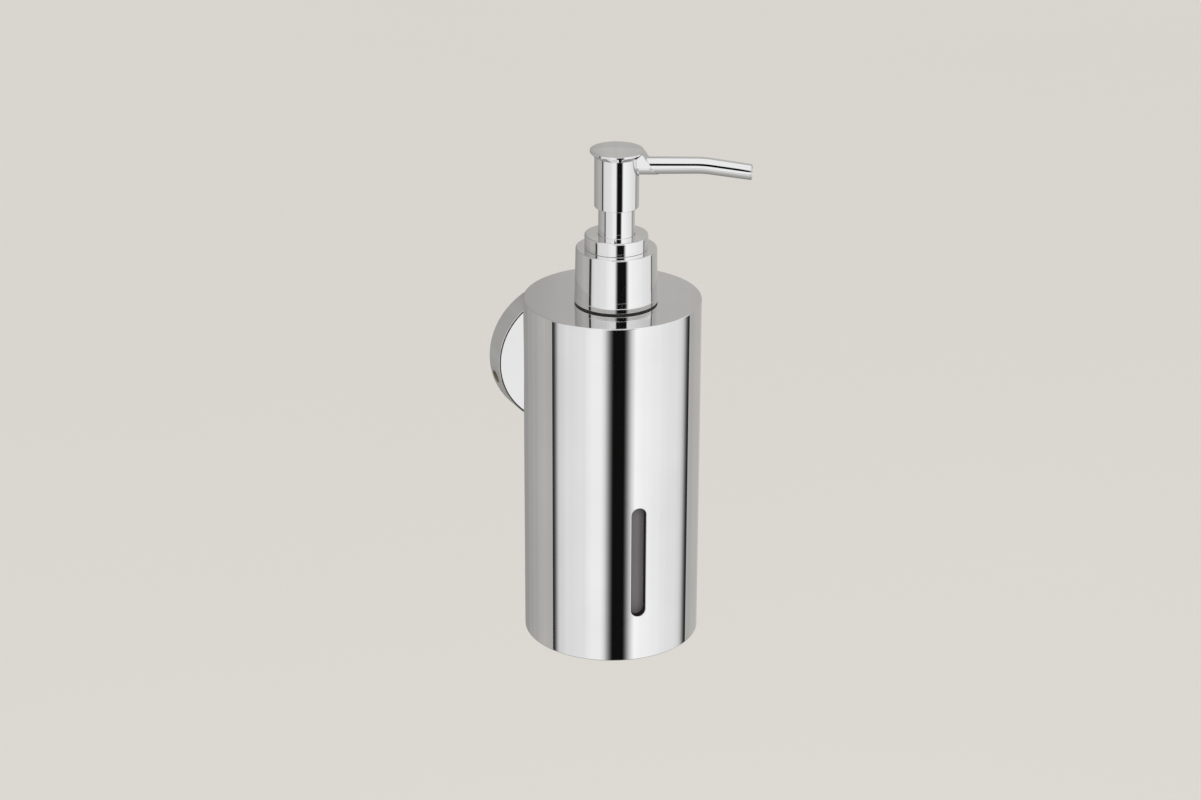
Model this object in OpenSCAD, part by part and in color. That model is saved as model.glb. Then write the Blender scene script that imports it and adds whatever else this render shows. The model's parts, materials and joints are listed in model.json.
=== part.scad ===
// Wall-mounted liquid soap dispenser with a lift-out bottle and a press pump.
// Millimetres. The origin is on the wall, on the axis of the round rosette.
// +Y points into the wall, +Z points up, and the body hangs in front of the wall at -Y.

/* [Body] */
// Outside diameter of the chromed body
body_d = 70; // [64:0.5:90]
// Height of the body, foot to top face
body_h = 142; // [130:1:180]
// Height of the body's top face above the rosette's axis
body_rise = 48; // [40:1:60]
// Thickness of the body's side wall
shell_wall = 1.2; // [0.8:0.1:2]
// Thickness of the body's top wall
top_wall = 1.5; // [1:0.1:2.5]
// Radius of the rounded edges on the body
shell_edge = 0.4; // [0.2:0.1:0.6]
// Width of the sight slot in the front of the body
slot_w = 6; // [4:0.2:10]
// Height of the sight slot, end to end
slot_h = 47; // [30:1:60]
// Height of the slot's lower end above the foot
slot_rise = 19; // [12:1:40]

/* [Base cover] */
// Thickness of the cover that closes the foot
cover_t = 1.8; // [1.2:0.1:3]
// Height of the cover's gripping rim
cover_rim_h = 4; // [3:0.5:6]
// Thickness of the cover's gripping rim
cover_rim_t = 1.6; // [1:0.1:3]

/* [Wall fixing] */
// Rosette diameter at the wall
rosette_d = 61.6; // [56:0.2:70]
// Rosette depth, wall to front face
rosette_depth = 11; // [10:0.5:16]
// How much narrower the rosette's radius is at its front
rosette_draft = 1; // [0:0.1:2]
// Thickness of the rosette's wall and front
rosette_wall = 2.5; // [2:0.1:3]
// Radius of the rosette's front edge
rosette_edge = 0.8; // [0.4:0.1:1.2]
// Distance between the two wall screw holes
wall_screw_spacing = 32; // [28:1:36]
// Diameter of the wall screw holes
wall_screw_d = 5.2; // [4:0.1:6]
// Diameter of the recess for a wall screw's head
wall_screw_head_d = 10.4; // [8:0.2:11]
// Depth of the recess for a wall screw's head
wall_screw_head_h = 3.5; // [2.5:0.1:4]
// Thickness of metal left under the recess in the middle of the plate
plate_floor = 2.2; // [1.5:0.1:3]
// Clearance round the post screw's head in the middle of the plate
recess_gap = 2.6; // [1.5:0.1:4]
// Diameter of the grub screw
grub_d = 4; // [3:0.5:5]
// Length of the grub screw's point, and depth of the groove it sits in
grub_point = 1.4; // [1:0.1:1.4]
// Width of the grub screw's hexagon socket, across its corners
grub_socket_d = 2; // [1.6:0.1:2.2]
// Depth of the grub screw's socket
grub_socket_h = 1.4; // [1:0.1:1.6]
// Direction of the grub screw seen from the front, from the right hand side
grub_angle = 195; // [180:1:360]

/* [Post] */
// Length of the post between the rosette and the body
post_len = 24; // [22:1:40]
// Diameter of the post between the rosette and the body
post_d = 20; // [18:1:26]
// Diameter of the screw that holds the post to the rosette
rosette_screw_d = 6; // [5:0.5:8]
// Length of that screw inside the post
rosette_screw_grip = 11; // [8:0.5:12]
// Diameter of the screw that holds the body to the post
body_screw_d = 5; // [4:0.5:6]
// Length of that screw inside the post
body_screw_grip = 8; // [6:0.5:9]
// Thickness of the saddle washer in its middle
saddle_t = 2.4; // [1.6:0.1:3]
// Diameter of the saddle washer
saddle_d = 16; // [12:0.5:20]

/* [Bottle] */
// How far the pump's axis lies in front of the body's axis
neck_offset = 4.5; // [2:0.1:6]
// Clearance between the bottle and the front of the body's bore
bottle_gap = 2.3; // [1:0.1:4]
// Thickness of the bottle's wall
bottle_wall = 1.2; // [0.8:0.1:1.6]
// Radius of the bottle's rounded shoulder
shoulder_r = 9; // [6:0.5:10]
// Radius of the bottle's rounded foot
bottle_foot_r = 5; // [3:0.5:8]
// Clearance between the bottle's foot and the base cover
bottle_foot_gap = 0.8; // [0.3:0.1:2]
// Diameter of the bottle's neck
neck_d = 26; // [25:0.5:30]
// Thickness of the neck's wall
neck_wall = 2.1; // [1.6:0.1:2.4]

/* [Closure] */
// Thickness of the washer on the body's top
washer_t = 0.65; // [0.4:0.05:1.2]
// Height of the closure
closure_h = 21.65; // [19:0.05:26]
// Wall thickness of the closure's inner cap
cap_wall = 1.95; // [1.5:0.05:3]
// Top thickness of the closure's inner cap
cap_top = 2.3; // [1.5:0.1:3]
// Wall thickness of the closure's chromed cover at its top edge
collar_wall = 0.55; // [0.4:0.05:1]
// Top thickness of the chromed cover
collar_top = 0.6; // [0.4:0.05:1]
// How much wider the cover's radius is at its foot
collar_draft = 0.5; // [0:0.05:1]
// Height of the lip round the cover's foot
lip_h = 1.9; // [1:0.1:3]
// How far the lip stands out
lip_out = 0.15; // [0.1:0.05:0.5]
// Radius of the cover's top edge
collar_edge = 0.5; // [0.2:0.05:0.5]
// Radial clearance of the screw thread
thread_gap = 0.3; // [0.2:0.05:0.5]

/* [Guide ring] */
// Diameter of the ring above the closure
ring_d = 24.8; // [22:0.2:28]
// Height of the ring above the closure
ring_h = 5.4; // [4:0.1:8]
// Radius of the ring's top edge
ring_edge = 0.6; // [0.3:0.1:1]
// Thickness of the stem guide at the foot of the ring
guide_t = 1; // [0.8:0.1:2]

/* [Pump] */
// Travel of the pump head
stroke = 11; // [8:0.5:14]
// Diameter of the pump cylinder's bore
piston_d = 12.4; // [11:0.2:14]
// Height of the piston
piston_h = 5.4; // [4.5:0.1:8]
// Height of each sealing lip of the piston
piston_lip = 1.1; // [0.8:0.1:1.5]
// Wall thickness of the pump cylinder
housing_wall = 1.2; // [0.8:0.1:1.6]
// Wall thickness of the cup at the cylinder's top
cup_wall = 1; // [0.8:0.1:1.4]
// Thickness of the cylinder's flange over the neck
flange_t = 2.2; // [1.5:0.1:3]
// Thickness of the gasket on the neck
gasket_t = 1.5; // [1:0.1:2]
// Diameter of the hollow stem
stem_d = 6.8; // [6:0.1:7.4]
// Diameter of the stem's bore
stem_bore = 3.6; // [3:0.1:4]
// Diameter of the chromed sleeve round the stem
sleeve_d = 14.1; // [13:0.1:15]
// Wall thickness of the sleeve
sleeve_wall = 1; // [0.6:0.1:1.4]
// Length of the sleeve held in the guide ring at rest
sleeve_grip = 4.4; // [3:0.1:5]
// Diameter of the spring wire
wire_d = 0.9; // [0.7:0.05:1.1]
// Turns of the spring
spring_turns = 9; // [6:1:11]
// Length of the spring with the head pressed down
spring_min = 27; // [22:0.5:32]
// Thickness of the cage over the inlet ball
cage_t = 1.5; // [1:0.1:2]
// Diameter of the holes in the cage
port_d = 2; // [1.6:0.1:2.2]
// Diameter of the inlet ball
inlet_ball_d = 4.8; // [4.4:0.1:5.4]
// Lift of the inlet ball
inlet_lift = 1.5; // [1:0.1:2]
// Diameter of the hole under the inlet ball
inlet_hole_d = 3.2; // [2.6:0.1:3.6]
// Outside diameter of the dip tube
dip_d = 6.4; // [5.6:0.1:7]
// Wall thickness of the dip tube
dip_wall = 1; // [0.6:0.1:1.2]
// Slant of the dip tube's lower end
dip_cut_angle = 35; // [0:5:45]
// Length of the dip tube held in the cylinder's nipple
dip_grip = 9; // [7:0.5:12]
// Clearance between the dip tube and the bottle's floor
dip_gap = 2; // [1:0.5:5]

/* [Head] */
// Diameter of the head's barrel
head_d = 17.3; // [17:0.1:19]
// Height of the head, foot to rim
head_h = 22.7; // [22.4:0.1:26]
// Wall thickness of the head's shell
head_wall = 1; // [0.6:0.1:1.1]
// Thickness of the head's top
head_top_t = 2; // [1.4:0.1:2.2]
// Diameter of the head's flat top
top_d = 20.8; // [20:0.1:24]
// Height of the flare under the top
flare_h = 3.2; // [2.5:0.1:4]
// Thickness of the top's rim
rim_h = 0.4; // [0.3:0.1:0.8]
// Height of the dome on the top
dome_h = 0.4; // [0.2:0.1:0.8]
// Length of the sleeve inside the head
sleeve_seat = 1.8; // [1.2:0.1:3]
// Length of the core's spigot inside the sleeve
spigot_h = 5; // [3:0.5:7]
// Length of the stem held in the core, above the spigot
stem_seat = 7; // [6:0.5:8]
// Diameter of the outlet ball
outlet_ball_d = 4.4; // [4.2:0.1:5]
// Lift of the outlet ball
outlet_lift = 1.2; // [0.8:0.1:1.6]
// Diameter of the way from the outlet ball up to the spout
riser_d = 2.4; // [2:0.1:3]

/* [Spout] */
// Outside diameter of the spout
spout_d = 6.7; // [6:0.1:7]
// Bore of the spout
spout_bore = 4.8; // [4:0.1:5]
// Depth of the spout's axis below the head's rim
spout_drop = 6.25; // [5.8:0.05:6.4]
// Length of the spout held in the head's core
spout_grip = 3; // [2:0.1:4]
// Reach of the spout's mouth from the pump's axis
spout_reach = 52; // [45:0.5:70]
// Distance of the bend's start from the pump's axis
bend_start = 30.5; // [26:0.5:36]
// Radius of the bend
bend_r = 40; // [25:1:60]
// Angle of the bend
bend_angle = 8.5; // [2:0.5:20]
// Direction of the spout, measured from the right hand side
spout_azimuth = -25; // [-180:1:180]
// Rise of the spout above level where it leaves the head
spout_rise = 2.5; // [0:0.5:5]
// Reach of the spout's root block at its foot
root_reach = 16.2; // [14:0.1:20]
// Thickness of metal round the spout in its root block
root_wall = 0.5; // [0.4:0.05:1]

/* [Fits] */
// Radial clearance of pieces that are pressed or screwed together
press_gap = 0.05; // [0.02:0.01:0.08]
// Gap between faces that are clamped or that stop a motion
seat_gap = 0.05; // [0.02:0.01:0.1]
// Radial clearance of pieces that slide or turn in each other
slide_gap = 0.08; // [0.05:0.01:0.1]
// Gap between faces that turn on each other
turn_gap = 0.15; // [0.1:0.01:0.2]
// Clearance between moving pieces that don't guide each other
free_gap = 0.3; // [0.2:0.05:0.4]

/* [Hidden] */
$fn = 96;
// Overlap that lets a cut pass cleanly through a face
cut = 1;

// Body and bottle
body_r = body_d/2;
shell_bore_r = body_r - shell_wall;
post_end = rosette_depth + post_len;
body_y = -post_end - body_r;
pump_y = body_y - neck_offset;
bottle_r = shell_bore_r - neck_offset - bottle_gap;
neck_r = neck_d/2;
neck_bore_r = neck_r - neck_wall;
cover_top = -body_h + cover_t;
bottle_foot = cover_top + bottle_foot_gap;

// Wall fixing, measured away from the wall
rosette_r = rosette_d/2;
rosette_front_r = rosette_r - rosette_draft;
rosette_bore_r = rosette_front_r - rosette_wall;
rosette_inner = rosette_depth - rosette_wall;
plate_r = rosette_bore_r - free_gap;
plate_t = rosette_inner - free_gap;
grub_y = rosette_inner/2;
grub_tip_r = plate_r - grub_point + press_gap;
grub_back_r = rosette_front_r - rosette_edge/2;

// Proportions of a slotted screw, as shares of its diameter
screw_head_ratio = 1.8;
screw_head_h_ratio = 0.6;
screw_slot_ratio = 0.2;
screw_slot_h_ratio = 0.3;
plate_recess_r = rosette_screw_d*screw_head_ratio/2 + recess_gap;

// Closure, guide ring and pump, measured up from the body's top face
closure_z = washer_t + seat_gap;
closure_top = closure_z + closure_h;
cap_bore_r = neck_r + thread_gap;
cap_r = cap_bore_r + cap_wall;
collar_bore_r = cap_r + press_gap;
collar_top_r = collar_bore_r + collar_wall;
collar_foot_r = collar_top_r + collar_draft;
cap_ceiling = closure_top - collar_top - seat_gap - cap_top;
flange_top = cap_ceiling - seat_gap;
flange_z = flange_top - flange_t;
gasket_z = flange_z - gasket_t;
neck_top = gasket_z - seat_gap;
cup_r = neck_bore_r - free_gap;
cup_bore_r = cup_r - cup_wall;
skirt_r = cup_bore_r - press_gap;
ring_z = closure_top + turn_gap;
ring_top = ring_z + ring_h;
ring_r = ring_d/2;
sleeve_r = sleeve_d/2;
sleeve_bore_r = sleeve_r - sleeve_wall;
ring_bore_r = sleeve_r + slide_gap;
sleeve_z = ring_top - sleeve_grip;
guide_top = sleeve_z - stroke - free_gap;
cup_floor = guide_top - guide_t;
bore_r = piston_d/2;
housing_r = bore_r + housing_wall;
piston_top = cup_floor - seat_gap;
piston_z = piston_top - piston_h;
spring_foot = piston_z - stroke - spring_min;
cage_z = spring_foot - cage_t;
inlet_r = inlet_ball_d/2;
chamber_r = inlet_r + 2*free_gap;
inlet_z = cage_z - inlet_lift - inlet_r - seat_gap;
inlet_seat_z = inlet_z - sqrt(inlet_r*inlet_r - inlet_hole_d*inlet_hole_d/4) - seat_gap;
nipple_top = inlet_seat_z - housing_wall;
dip_r = dip_d/2;
nipple_bore_r = dip_r + press_gap;
nipple_r = nipple_bore_r + housing_wall;
dip_z = bottle_foot + bottle_wall + dip_gap;
stem_r = stem_d/2;

// Pump head, measured up from the body's top face
head_r = head_d/2;
top_r = top_d/2;
head_z = ring_top + stroke + free_gap;
head_rim = head_z + head_h;
head_bore_r = head_r - head_wall;
head_ceiling = head_rim - head_top_t;
core_r = head_bore_r - press_gap;
core_z = head_z + sleeve_seat;
spigot_r = sleeve_bore_r - press_gap;
stem_top = core_z + stem_seat;
outlet_r = outlet_ball_d/2;
outlet_z = stem_top + sqrt(outlet_r*outlet_r - stem_bore*stem_bore/4) + seat_gap;
outlet_stop = outlet_z + outlet_r + outlet_lift + seat_gap;
outlet_chamber_r = outlet_r + 2*free_gap;
spout_r = spout_d/2;
spout_bore_r = spout_bore/2;
spout_z = head_rim - spout_drop;
spout_seat = core_r - spout_grip;
root_r = spout_r + press_gap + root_wall;

// Spring coil as one tube: rings of points set along the coil
coil_r = bore_r - 2*slide_gap - free_gap - wire_d;
coil_steps = 12;
coil_sides = 6;
coil_rings = spring_turns*coil_steps;
coil_len = piston_z - spring_foot - wire_d - 2*seat_gap;
coil_path = [for (i = [0:coil_rings])
  let (a = 360*i/coil_steps)
  [coil_r*cos(a), coil_r*sin(a), spring_foot + seat_gap + wire_d/2 + coil_len*i/coil_rings]];
coil_next = [for (i = [0:coil_rings - coil_steps]) norm(coil_path[i + coil_steps] - coil_path[i])];
coil_gap = min(coil_next) - wire_d;
echo(spring_least_gap = coil_gap);

// Places a piece on the body's axis with its zero at the body's top face
module at_body() translate([0, body_y, body_rise]) children();

// Places a piece on the pump's axis with its zero at the body's top face
module at_pump() translate([0, pump_y, body_rise]) children();

// Turns a piece that is drawn upwards so that it stands out from the wall
module at_wall() rotate([90, 0, 0]) children();

// Places a piece that is drawn along X, level, at the height and in the direction of the spout's root
module at_root() at_pump() rotate([0, 0, spout_azimuth]) translate([0, 0, spout_z]) children();

// Places a piece that is drawn along X in the rising direction of the spout
module at_spout() at_root() rotate([0, -spout_rise, 0]) children();

// Ring of rectangular section between two radii and two heights
module ring(inner, outer, low, high)
  rotate_extrude() translate([inner, low]) square([outer - inner, high - low]);

// Plain cylinder between two heights
module rod(radius, low, high) translate([0, 0, low]) cylinder(r = radius, h = high - low);

// Section of a disc whose upper outer edge is rounded
module rounded_section(radius, height, edge) {
  square([radius - edge, height]);
  square([radius, height - edge]);
  translate([radius - edge, height - edge]) circle(edge);
}

// Slotted screw, drawn upwards with its head below zero
module slotted_screw(d, length) {
  wide_r = d*screw_head_ratio/2;
  foot = -d*screw_head_h_ratio;
  slot = d*screw_slot_ratio;
  difference() {
    union() {
      rod(d/2, foot/2, length);
      rod(wide_r, foot, 0);
    }
    translate([-d, -slot/2, foot - cut]) cube([2*d, slot, d*screw_slot_h_ratio + cut]);
  }
}

// Plate that is screwed to the wall, with a groove for the grub screw
module wall_plate() {
  color("silver") at_wall() difference() {
    rod(plate_r, 0, plate_t);
    rod(plate_recess_r, plate_floor, plate_t + cut);
    for (side = [-1, 1]) translate([side*wall_screw_spacing/2, 0, 0]) {
      rod(wall_screw_d/2, -cut, plate_t + cut);
      rod(wall_screw_head_d/2, plate_t - wall_screw_head_h, plate_t + cut);
    }
    rotate_extrude() polygon([
      [plate_r - grub_point, grub_y],
      [plate_r + cut, grub_y - grub_point - cut],
      [plate_r + cut, grub_y + grub_point + cut]]);
  }
}

// Chromed cup that hides the plate and carries the post
module rosette() {
  color("gainsboro") at_wall() difference() {
    rotate_extrude() {
      polygon([
        [0, 0],
        [rosette_r, 0],
        [rosette_front_r, rosette_depth - rosette_edge],
        [rosette_front_r - rosette_edge, rosette_depth],
        [0, rosette_depth]]);
      translate([rosette_front_r - rosette_edge, rosette_depth - rosette_edge]) circle(rosette_edge);
    }
    rod(rosette_bore_r, -cut, rosette_inner);
    rod(rosette_screw_d/2 + press_gap, 0, rosette_depth + cut);
    translate([0, 0, grub_y]) rotate([0, 0, grub_angle]) rotate([0, 90, 0])
      rod(grub_d/2 + press_gap, 0, rosette_r + cut);
  }
}

// Pointed screw that locks the rosette on the plate
module grub_screw() {
  grub_r = grub_d/2;
  color("goldenrod") at_wall() translate([0, 0, grub_y]) rotate([0, 0, grub_angle]) rotate([0, 90, 0])
    difference() {
      union() {
        rod(grub_r, grub_tip_r + grub_point, grub_back_r);
        translate([0, 0, grub_tip_r]) cylinder(r1 = 0, r2 = grub_point, h = grub_point);
      }
      translate([0, 0, grub_back_r - grub_socket_h]) cylinder(d = grub_socket_d, h = grub_d, $fn = 6);
    }
}

// Post with a hollowed end that fits the round body
module mount_post() {
  color("gainsboro") difference() {
    at_wall() difference() {
      rod(post_d/2, rosette_depth + seat_gap, post_end + post_d/2);
      rod(rosette_screw_d/2 + press_gap, 0, rosette_depth + rosette_screw_grip + cut);
      rod(body_screw_d/2 + press_gap, post_end - body_screw_grip - cut, post_end + post_d);
    }
    at_body() rod(body_r + seat_gap, -body_h, 0);
  }
}

// Screw from inside the rosette into the post
module rosette_screw() {
  color("darkgray") at_wall() translate([0, 0, rosette_inner - seat_gap])
    slotted_screw(rosette_screw_d, rosette_wall + rosette_screw_grip);
}

// Screw from inside the body, through its wall, into the post
module body_screw() {
  color("darkgray") at_wall() translate([0, 0, post_end + shell_wall + saddle_t + 2*seat_gap])
    mirror([0, 0, 1]) slotted_screw(body_screw_d, shell_wall + saddle_t + body_screw_grip);
}

// Washer with one round face that seats the screw's head in the body's bore
module saddle_washer() {
  color("darkgray") intersection() {
    at_wall() difference() {
      rod(saddle_d/2, post_end, post_end + shell_wall + saddle_t);
      rod(body_screw_d/2 + press_gap, 0, post_end + body_d);
    }
    at_body() rod(shell_bore_r - seat_gap, -body_h, 0);
  }
}

// Chromed body with its top wall, neck hole, sight slot and screw hole
module body_shell() {
  slot_low = -body_h + slot_rise;
  color("gainsboro") difference() {
    at_body() difference() {
      translate([0, 0, -body_h]) rotate_extrude() rounded_section(body_r, body_h, shell_edge);
      rod(shell_bore_r, -body_h - cut, -top_wall);
    }
    at_pump() rod(neck_r + free_gap, -top_wall - cut, cut);
    translate([0, body_y, body_rise]) rotate([90, 0, 0]) {
      for (end = [slot_low + slot_w/2, slot_low + slot_h - slot_w/2])
        translate([0, end, 0]) rod(slot_w/2, body_r/2, body_r + cut);
      translate([-slot_w/2, slot_low + slot_w/2, body_r/2]) cube([slot_w, slot_h - slot_w, body_r]);
    }
    at_wall() rod(body_screw_d/2 + press_gap, post_end - cut, post_end + body_r);
  }
}

// Cover pressed into the body's foot
module base_cover() {
  color("dimgray") at_body() {
    difference() {
      rod(shell_bore_r - press_gap, -body_h, -body_h + cover_rim_h);
      rod(shell_bore_r - press_gap - cover_rim_t, cover_top, -body_h + cover_rim_h + cut);
    }
  }
}

// Outline of half the bottle, drawn solid, at an inset from its outside
module bottle_section(inset) {
  r = bottle_r - inset;
  foot = bottle_foot + inset;
  top = -top_wall - seat_gap - inset;
  shoulder = shoulder_r - inset;
  foot_r = bottle_foot_r - inset;
  translate([0, foot]) square([r - foot_r, top - foot]);
  translate([0, foot + foot_r]) square([r, top - shoulder - foot - foot_r]);
  translate([0, foot]) square([r - shoulder, top - foot]);
  translate([r - foot_r, foot + foot_r]) circle(foot_r);
  translate([r - shoulder, top - shoulder]) circle(shoulder);
}

// Grey soap bottle that hangs by its neck in the body's top wall
module soap_bottle() {
  color("#64616380") at_pump() difference() {
    union() {
      rotate_extrude() bottle_section(0);
      rod(neck_r, -top_wall - bottle_wall, neck_top);
    }
    rotate_extrude() bottle_section(bottle_wall);
    rod(neck_bore_r, -top_wall - 2*bottle_wall, neck_top + cut);
  }
}

// Black washer between the closure and the body's top
module neck_washer() {
  color("black") at_pump() ring(neck_r + free_gap, collar_foot_r - lip_out, 0, washer_t);
}

// Chromed cover of the closure, with a lip round its foot
module collar_cover() {
  lip_top = closure_z + lip_h;
  color("gainsboro") at_pump() difference() {
    rotate_extrude() {
      polygon([
        [0, closure_z],
        [collar_foot_r, closure_z],
        [collar_foot_r, lip_top - lip_out],
        [collar_foot_r - lip_out, lip_top],
        [collar_top_r, closure_top - collar_edge],
        [collar_top_r - collar_edge, closure_top],
        [0, closure_top]]);
      translate([collar_top_r - collar_edge, closure_top - collar_edge]) circle(collar_edge);
    }
    rod(collar_bore_r, 0, closure_top - collar_top);
    rod(skirt_r + free_gap, 0, closure_top + cut);
  }
}

// Threaded inner cap of the closure
module screw_cap() {
  color("whitesmoke") at_pump() difference() {
    rod(cap_r, closure_z, cap_ceiling + cap_top);
    rod(cap_bore_r, 0, cap_ceiling);
    rod(skirt_r + free_gap, 0, closure_top);
  }
}

// Gasket that seals the cylinder's flange on the bottle's neck
module neck_gasket() {
  color("dimgray") at_pump() ring(cup_r + press_gap, neck_r, gasket_z, flange_z);
}

// Chromed ring with a skirt that guides the sleeve and the stem
module guide_ring() {
  color("gainsboro") at_pump() difference() {
    union() {
      translate([0, 0, ring_z]) rotate_extrude() rounded_section(ring_r, ring_h, ring_edge);
      rod(skirt_r, cup_floor + seat_gap, ring_z + cut);
    }
    rod(ring_bore_r, guide_top, ring_top + cut);
    rod(stem_r + slide_gap, 0, ring_top);
  }
}

// Pump cylinder with its cup, flange, valve seat and nipple
module pump_cylinder() {
  color("whitesmoke") at_pump() difference() {
    union() {
      rod(cup_r, cup_floor - housing_wall, flange_top);
      rod(neck_r, flange_z, flange_top);
      rod(housing_r, nipple_top, cup_floor);
      rod(nipple_r, nipple_top - dip_grip, nipple_top + housing_wall);
    }
    rod(cup_bore_r, cup_floor, flange_top + cut);
    rod(bore_r, cage_z, cup_floor + cut);
    rod(chamber_r, inlet_seat_z, cage_z + cut);
    rod(inlet_hole_d/2, nipple_top - cut, inlet_seat_z + cut);
    rod(nipple_bore_r, nipple_top - dip_grip - cut, nipple_top);
  }
}

// Coil spring that lifts the piston
module return_spring() {
  points = [for (i = [0:coil_rings], j = [0:coil_sides - 1])
    let (a = 360*i/coil_steps, b = 360*j/coil_sides, r = coil_r + wire_d/2*cos(b))
    [r*cos(a), r*sin(a), coil_path[i][2] + wire_d/2*sin(b)]];
  sides = [for (i = [0:coil_rings - 1], j = [0:coil_sides - 1])
    let (p = i*coil_sides + j, q = i*coil_sides + (j + 1) % coil_sides)
    each [[p, q, p + coil_sides], [q, q + coil_sides, p + coil_sides]]];
  last = coil_rings*coil_sides;
  ends = [for (j = [1:coil_sides - 2]) each [[0, j + 1, j], [last, last + j, last + j + 1]]];
  color("silver") at_pump() polyhedron(points, concat(sides, ends));
}

// Cage over the inlet ball, which carries the spring and lets the soap through
module ball_cage() {
  color("whitesmoke") at_pump() difference() {
    rod(bore_r - press_gap, cage_z + seat_gap, spring_foot);
    for (a = [0:120:240]) rotate([0, 0, a]) translate([chamber_r - port_d/2, 0, 0])
      rod(port_d/2, cage_z, spring_foot + cut);
  }
}

// Ball of the inlet valve
module inlet_ball() {
  color("lightgray") at_pump() translate([0, 0, inlet_z]) sphere(inlet_r);
}

// Tube that draws the soap from the bottle's floor
module dip_tube() {
  color("whitesmoke") at_pump() difference() {
    ring(dip_r - dip_wall, dip_r, dip_z, nipple_top - seat_gap);
    translate([-dip_r, -dip_d, dip_z]) rotate([0, -dip_cut_angle, 0]) translate([-dip_d, 0, -2*dip_d])
      cube([4*dip_d, 2*dip_d, 2*dip_d]);
  }
}

// Piston with a sealing lip at each end
module piston() {
  waist_r = bore_r - 2*free_gap;
  color("whitesmoke") at_pump() difference() {
    union() {
      rod(waist_r, piston_z, piston_top);
      rod(bore_r - slide_gap, piston_z, piston_z + piston_lip);
      rod(bore_r - slide_gap, piston_top - piston_lip, piston_top);
    }
    rod(stem_r + slide_gap, piston_z + piston_lip, piston_top + cut);
    rod(stem_bore/2, piston_z - cut, piston_top);
  }
}

// Hollow stem that carries the soap up to the head
module pump_stem() {
  color("whitesmoke") at_pump() ring(stem_bore/2, stem_r, piston_z + piston_lip + seat_gap, stem_top);
}

// Chromed sleeve round the stem
module stem_sleeve() {
  color("gainsboro") at_pump() ring(sleeve_bore_r, sleeve_r, sleeve_z, core_z - seat_gap);
}

// Inner core of the head, with the outlet valve's chamber and the way to the spout
module head_core() {
  color("whitesmoke") difference() {
    at_pump() difference() {
      union() {
        rod(core_r, core_z, head_ceiling - seat_gap);
        rod(spigot_r, core_z - spigot_h, core_z + cut);
      }
      rod(stem_r + press_gap, core_z - spigot_h - cut, stem_top + seat_gap);
      rod(outlet_chamber_r, stem_top, outlet_stop);
      rod(riser_d/2, outlet_stop - cut, spout_z);
    }
    at_spout() rotate([0, 90, 0]) {
      rod(spout_bore_r, -spout_bore_r/2, core_r + cut);
      rod(spout_r + press_gap, spout_seat - seat_gap, core_r + cut);
    }
  }
}

// Ball of the outlet valve
module outlet_ball() {
  color("lightgray") at_pump() translate([0, 0, outlet_z]) sphere(outlet_r);
}

// Block that holds the spout's root, drawn along X: round below, flat at its sides, with a slanted end
module root_block() {
  block_top = head_rim - rim_h - spout_z - top_r*tan(spout_rise);
  lean = (root_reach - top_r)/(block_top + root_r);
  intersection() {
    rotate([90, 0, 0]) translate([0, 0, -2*root_r]) linear_extrude(4*root_r) polygon([
      [0, -2*root_r],
      [root_reach + lean*root_r, -2*root_r],
      [top_r, block_top],
      [0, block_top]]);
    rotate([90, 0, 90]) linear_extrude(2*root_reach) {
      circle(root_r);
      translate([-root_r, 0]) square([2*root_r, 2*block_top]);
    }
  }
}

// Chromed head with its flared top and the root block of the spout
module pump_head() {
  flare_z = head_rim - rim_h - flare_h;
  dome_r = (top_r*top_r + dome_h*dome_h)/(2*dome_h);
  color("gainsboro") difference() {
    union() {
      at_pump() {
        rod(head_r, head_z, flare_z);
        translate([0, 0, flare_z]) cylinder(r1 = head_r, r2 = top_r, h = flare_h);
        rod(top_r, head_rim - rim_h, head_rim);
        intersection() {
          translate([0, 0, head_rim + dome_h - dome_r]) sphere(dome_r);
          rod(top_r, head_rim - rim_h, head_rim + 2*dome_h);
        }
      }
      at_spout() root_block();
    }
    at_pump() rod(head_bore_r, head_z - cut, head_ceiling);
    at_spout() rotate([0, 90, 0]) rod(spout_r + press_gap, spout_seat, root_reach + cut);
  }
}

// Section of the spout, set out at the radius of its bend
module spout_section() {
  translate([bend_r, 0]) difference() {
    circle(spout_r);
    circle(spout_bore_r);
  }
}

// Spout drawn flat round the centre of its bend, with a straight run at each end
module spout_run() {
  end_len = (spout_reach - bend_start)/cos(bend_angle);
  rotate_extrude(angle = bend_angle) spout_section();
  rotate([90, 0, 0]) linear_extrude(end_len) spout_section();
  rotate([0, 0, bend_angle]) mirror([0, 1, 0]) rotate([90, 0, 0])
    linear_extrude(bend_start - spout_seat) spout_section();
}

// Bent delivery spout with its mouth cut upright
module spout_tube() {
  color("gainsboro") difference() {
    at_spout() translate([bend_start, 0, -bend_r]) rotate([90, 0, 0]) rotate([0, 0, 90 - bend_angle])
      spout_run();
    at_root() translate([spout_reach, -spout_d, -spout_reach])
      cube([spout_reach, 2*spout_d, 2*spout_reach]);
  }
}

wall_plate();
rosette();
grub_screw();
mount_post();
rosette_screw();
body_screw();
saddle_washer();
body_shell();
base_cover();
soap_bottle();
neck_washer();
collar_cover();
screw_cap();
neck_gasket();
guide_ring();
pump_cylinder();
return_spring();
ball_cage();
inlet_ball();
dip_tube();
piston();
pump_stem();
stem_sleeve();
head_core();
outlet_ball();
pump_head();
spout_tube();
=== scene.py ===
# %% [markdown]
# # A chromed soap dispenser for the wall
# The dispenser is a chromed tube that hangs on a short post in front of a wall rosette. A grey bottle
# stands inside the tube, and a press pump with a bent spout is screwed on the bottle's neck. The packed
# model already holds every piece at its real size. This lesson gives the pieces that show a finer surface
# and gives every piece its finish.

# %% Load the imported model
import json
import math

import bmesh
import bpy
import numpy as np
from mathutils import Matrix, Vector


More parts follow.
